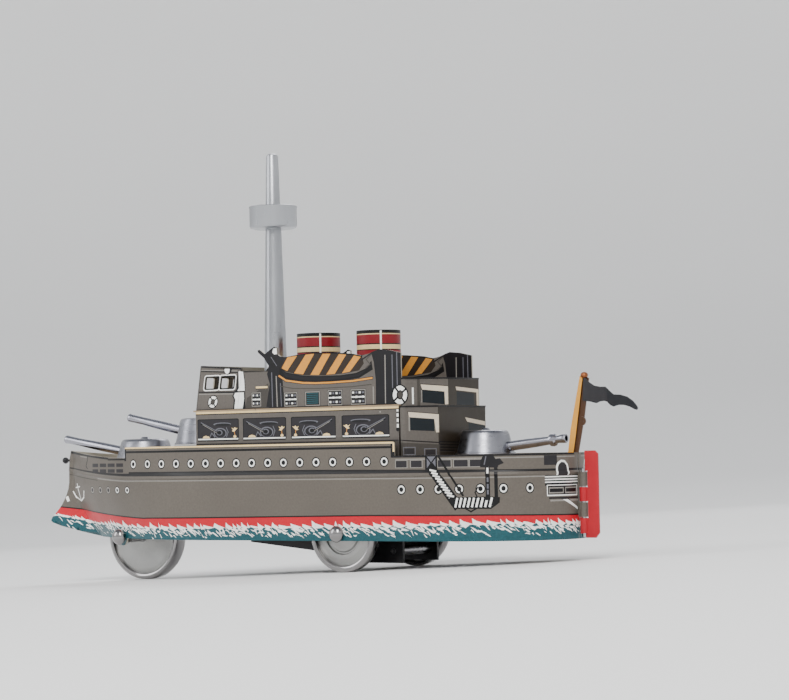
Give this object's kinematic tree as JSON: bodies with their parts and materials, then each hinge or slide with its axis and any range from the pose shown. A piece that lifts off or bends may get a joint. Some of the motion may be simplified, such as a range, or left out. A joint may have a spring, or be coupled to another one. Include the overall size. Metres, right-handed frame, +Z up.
{
  "type": "clockwork toy warship",
  "caption": "Wind-up tin toy warship on wheels: ram-bowed hull, deckhouses, two funnels, mast, traversing gun turrets, swinging rudder and a spring-driven gear train.",
  "frame": {"origin": "centre of the clear flat underside of the bottom plate, between the clockwork's opening and the front wheel's slot, on the centre plane", "axes": "+X horizontally towards the bow, +Y to port, +Z up; the toy stands on its three wheels on a level floor with its hull 2.67 degrees bow-up"},
  "size_m": [0.1874, 0.0804, 0.1112],
  "materials": {
    "hull_litho": "lithographed satin",
    "deck_litho": "lithographed satin",
    "grey_litho": "lithographed satin",
    "red_litho": "lithographed satin",
    "black_litho": "lithographed satin",
    "ochre_litho": "lithographed satin",
    "plain_tin": "dull pressed tin",
    "nickel": "nickel plated",
    "spring_steel": "blued",
    "steel": "drawn bright",
    "gear_brass": "stamped"
  },
  "bodies": {
    "hull": {"hull_port": "hull_litho", "hull_starboard": "hull_litho", "main_deck": "deck_litho", "bottom_plate": "black_litho", "bow_knob": "black_litho", "casemate": "grey_litho", "boat_deck": "deck_litho", "bridge_screen": "grey_litho", "bridge_roof": "grey_litho", "boat_screen_port": "grey_litho", "boat_screen_starboard": "grey_litho", "house_lower": "grey_litho", "house_deck": "deck_litho", "house_upper": "grey_litho", "house_roof": "grey_litho", "funnel_fore": "red_litho", "funnel_aft": "red_litho", "funnel_caps": "black_litho", "mast": "plain_tin", "crows_nest": "plain_tin", "flagstaff": "ochre_litho", "pennant": "black_litho", "barbette": "plain_tin", "motor_plate_port": "black_litho", "motor_plate_starboard": "black_litho", "motor_pillars": "steel", "spring_post": "steel", "mainspring": "spring_steel", "stern_sleeves": "red_litho", "rudder_pin": "steel"},
    "turret_a_assembly": {"turret_a": "plain_tin", "gun_a": "plain_tin", "turret_pivot_a": "steel"},
    "turret_b_assembly": {"turret_b": "plain_tin", "gun_b": "plain_tin", "turret_pivot_b": "steel"},
    "turret_y_assembly": {"turret_y": "plain_tin", "gun_y": "plain_tin", "turret_pivot_y": "steel"},
    "front_wheelset": {"front_wheel": "nickel", "front_axle": "steel", "front_axle_caps": "nickel", "front_spacers": "steel"},
    "rear_wheelset": {"rear_axle": "steel", "rear_axle_caps": "nickel", "rear_wheel_port": "nickel", "rear_wheel_starboard": "nickel", "rear_spacers": "steel", "axle_pinion": "gear_brass"},
    "idler_assembly": {"idler_arbor": "steel", "idler_wheel": "gear_brass", "idler_pinion": "gear_brass"},
    "great_wheel_assembly": {"great_wheel": "gear_brass", "click_rivet": "steel", "click_spring": "spring_steel"},
    "click_arm": {"click": "steel"},
    "winding_assembly": {"winding_arbor": "steel", "ratchet_wheel": "steel"},
    "key": {"winding_key": "nickel"},
    "rudder_blade": {"rudder": "red_litho"}
  },
  "joints": [
    {"name": "turret_a_traverse", "type": "hinge", "parent": "hull", "child": "turret_a_assembly", "pos_m": [0.0275, 0, 0.0222], "axis": [-0.0466, 0, 0.9989], "range_deg": [-80, 80]},
    {"name": "turret_b_traverse", "type": "hinge", "parent": "hull", "child": "turret_b_assembly", "pos_m": [0.00783, 0, 0.02539], "axis": [-0.0466, 0, 0.9989], "range_deg": [-80, 80]},
    {"name": "turret_y_traverse", "type": "hinge", "parent": "hull", "child": "turret_y_assembly", "pos_m": [-0.08159, 0, 0.01712], "axis": [-0.0466, 0, 0.9989], "range_deg": [-85, 85]},
    {"name": "front_wheel_spin", "type": "hinge", "parent": "hull", "child": "front_wheelset", "pos_m": [0.02825, 0, 0.00172], "axis": [0, 1, 0], "continuous": true},
    {"name": "rear_wheel_spin", "type": "hinge", "parent": "hull", "child": "rear_wheelset", "pos_m": [-0.04903, 0, -0.00058], "axis": [0, 1, 0], "continuous": true},
    {"name": "idler_spin", "type": "hinge", "parent": "hull", "child": "idler_assembly", "pos_m": [-0.04296, 0, 0.00737], "axis": [0, 1, 0], "continuous": true},
    {"name": "great_wheel_spin", "type": "hinge", "parent": "hull", "child": "great_wheel_assembly", "pos_m": [-0.03046, 0, 0.0073], "axis": [0, 1, 0], "continuous": true},
    {"name": "click_lift", "type": "hinge", "parent": "great_wheel_assembly", "child": "click_arm", "pos_m": [-0.02548, -0.0024, 0.01277], "axis": [0, -1, 0], "range_deg": [0, 9], "stiffness_Nm_per_rad": 0.0002},
    {"name": "winding_turn", "type": "hinge", "parent": "great_wheel_assembly", "child": "winding_assembly", "pos_m": [-0.03046, 0, 0.0073], "axis": [0, 1, 0], "continuous": true},
    {"name": "key_pull", "type": "slide", "parent": "winding_assembly", "child": "key", "axis": [0, -1, 0], "range_m": [0, 0.012]},
    {"name": "rudder_swing", "type": "hinge", "parent": "hull", "child": "rudder_blade", "pos_m": [-0.10875, 0, 0.00494], "axis": [-0.0466, 0, 0.9989], "range_deg": [-35, 35]}
  ],
  "couplings": [
    {"joint": "idler_spin", "follows": "rear_wheel_spin", "ratio": -0.33333},
    {"joint": "great_wheel_spin", "follows": "rear_wheel_spin", "ratio": 0.083333}
  ]
}
